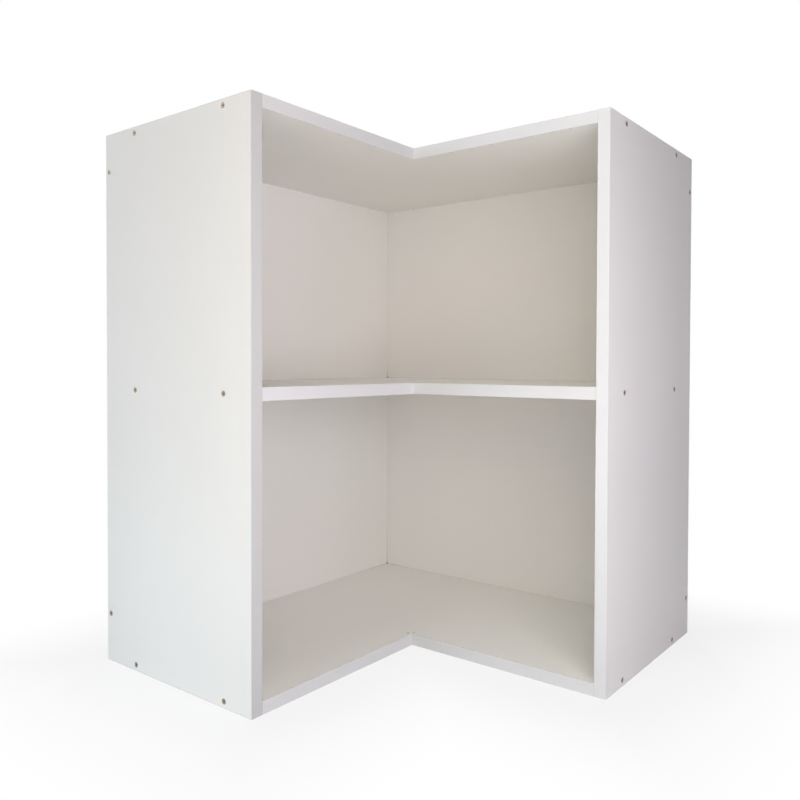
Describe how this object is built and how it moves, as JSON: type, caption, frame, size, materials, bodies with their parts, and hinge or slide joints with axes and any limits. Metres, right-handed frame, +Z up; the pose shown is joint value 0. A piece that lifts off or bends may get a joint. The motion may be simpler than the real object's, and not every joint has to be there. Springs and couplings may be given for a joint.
{
  "type": "corner wall cabinet",
  "caption": "Open L-shaped corner wall cabinet carcass of white melamine-faced board with a fixed L-shaped shelf, for the inside corner of a kitchen.",
  "frame": {"origin": "bottom centre of the cabinet's box, in the plane of its underside; in plan this is also the inside corner of the L-shaped front", "axes": "+Z up; +Y towards the rear wall, +X along the rear wall to the right end panel; the room's corner is at -X, +Y"},
  "size_m": [0.6, 0.6, 0.72],
  "materials": {
    "melamine_board": "satin white melamine on chipboard, cut edges bare at the back",
    "edge_band": "satin white edge band",
    "screw_steel": "dull passivated steel, brownish"
  },
  "bodies": {
    "root": {"bottom_left_band": "edge_band", "bottom_panel": "melamine_board", "bottom_right_band": "edge_band", "left_back_panel": "melamine_board", "left_end_bottom_band": "edge_band", "left_end_front_band": "edge_band", "left_end_panel": "melamine_board", "left_end_top_band": "edge_band", "rear_back_panel": "melamine_board", "right_end_bottom_band": "edge_band", "right_end_front_band": "edge_band", "right_end_panel": "melamine_board", "right_end_top_band": "edge_band", "screw_corner_1": "screw_steel", "screw_corner_2": "screw_steel", "screw_corner_3": "screw_steel", "screw_left_back_bottom_inner": "screw_steel", "screw_left_back_bottom_outer": "screw_steel", "screw_left_back_shelf_inner": "screw_steel", "screw_left_back_shelf_outer": "screw_steel", "screw_left_back_top_inner": "screw_steel", "screw_left_back_top_outer": "screw_steel", "screw_left_end_bottom_front": "screw_steel", "screw_left_end_bottom_rear": "screw_steel", "screw_left_end_edge_lower": "screw_steel", "screw_left_end_edge_upper": "screw_steel", "screw_left_end_shelf_front": "screw_steel", "screw_left_end_shelf_rear": "screw_steel", "screw_left_end_top_front": "screw_steel", "screw_left_end_top_rear": "screw_steel", "screw_rear_back_bottom_inner": "screw_steel", "screw_rear_back_bottom_outer": "screw_steel", "screw_rear_back_shelf_inner": "screw_steel", "screw_rear_back_shelf_outer": "screw_steel", "screw_rear_back_top_inner": "screw_steel", "screw_rear_back_top_outer": "screw_steel", "screw_right_end_bottom_front": "screw_steel", "screw_right_end_bottom_rear": "screw_steel", "screw_right_end_edge_lower": "screw_steel", "screw_right_end_edge_upper": "screw_steel", "screw_right_end_shelf_front": "screw_steel", "screw_right_end_shelf_rear": "screw_steel", "screw_right_end_top_front": "screw_steel", "screw_right_end_top_rear": "screw_steel", "shelf": "melamine_board", "shelf_left_band": "edge_band", "shelf_right_band": "edge_band", "top_left_band": "edge_band", "top_panel": "melamine_board", "top_right_band": "edge_band"}
  },
  "joints": []
}
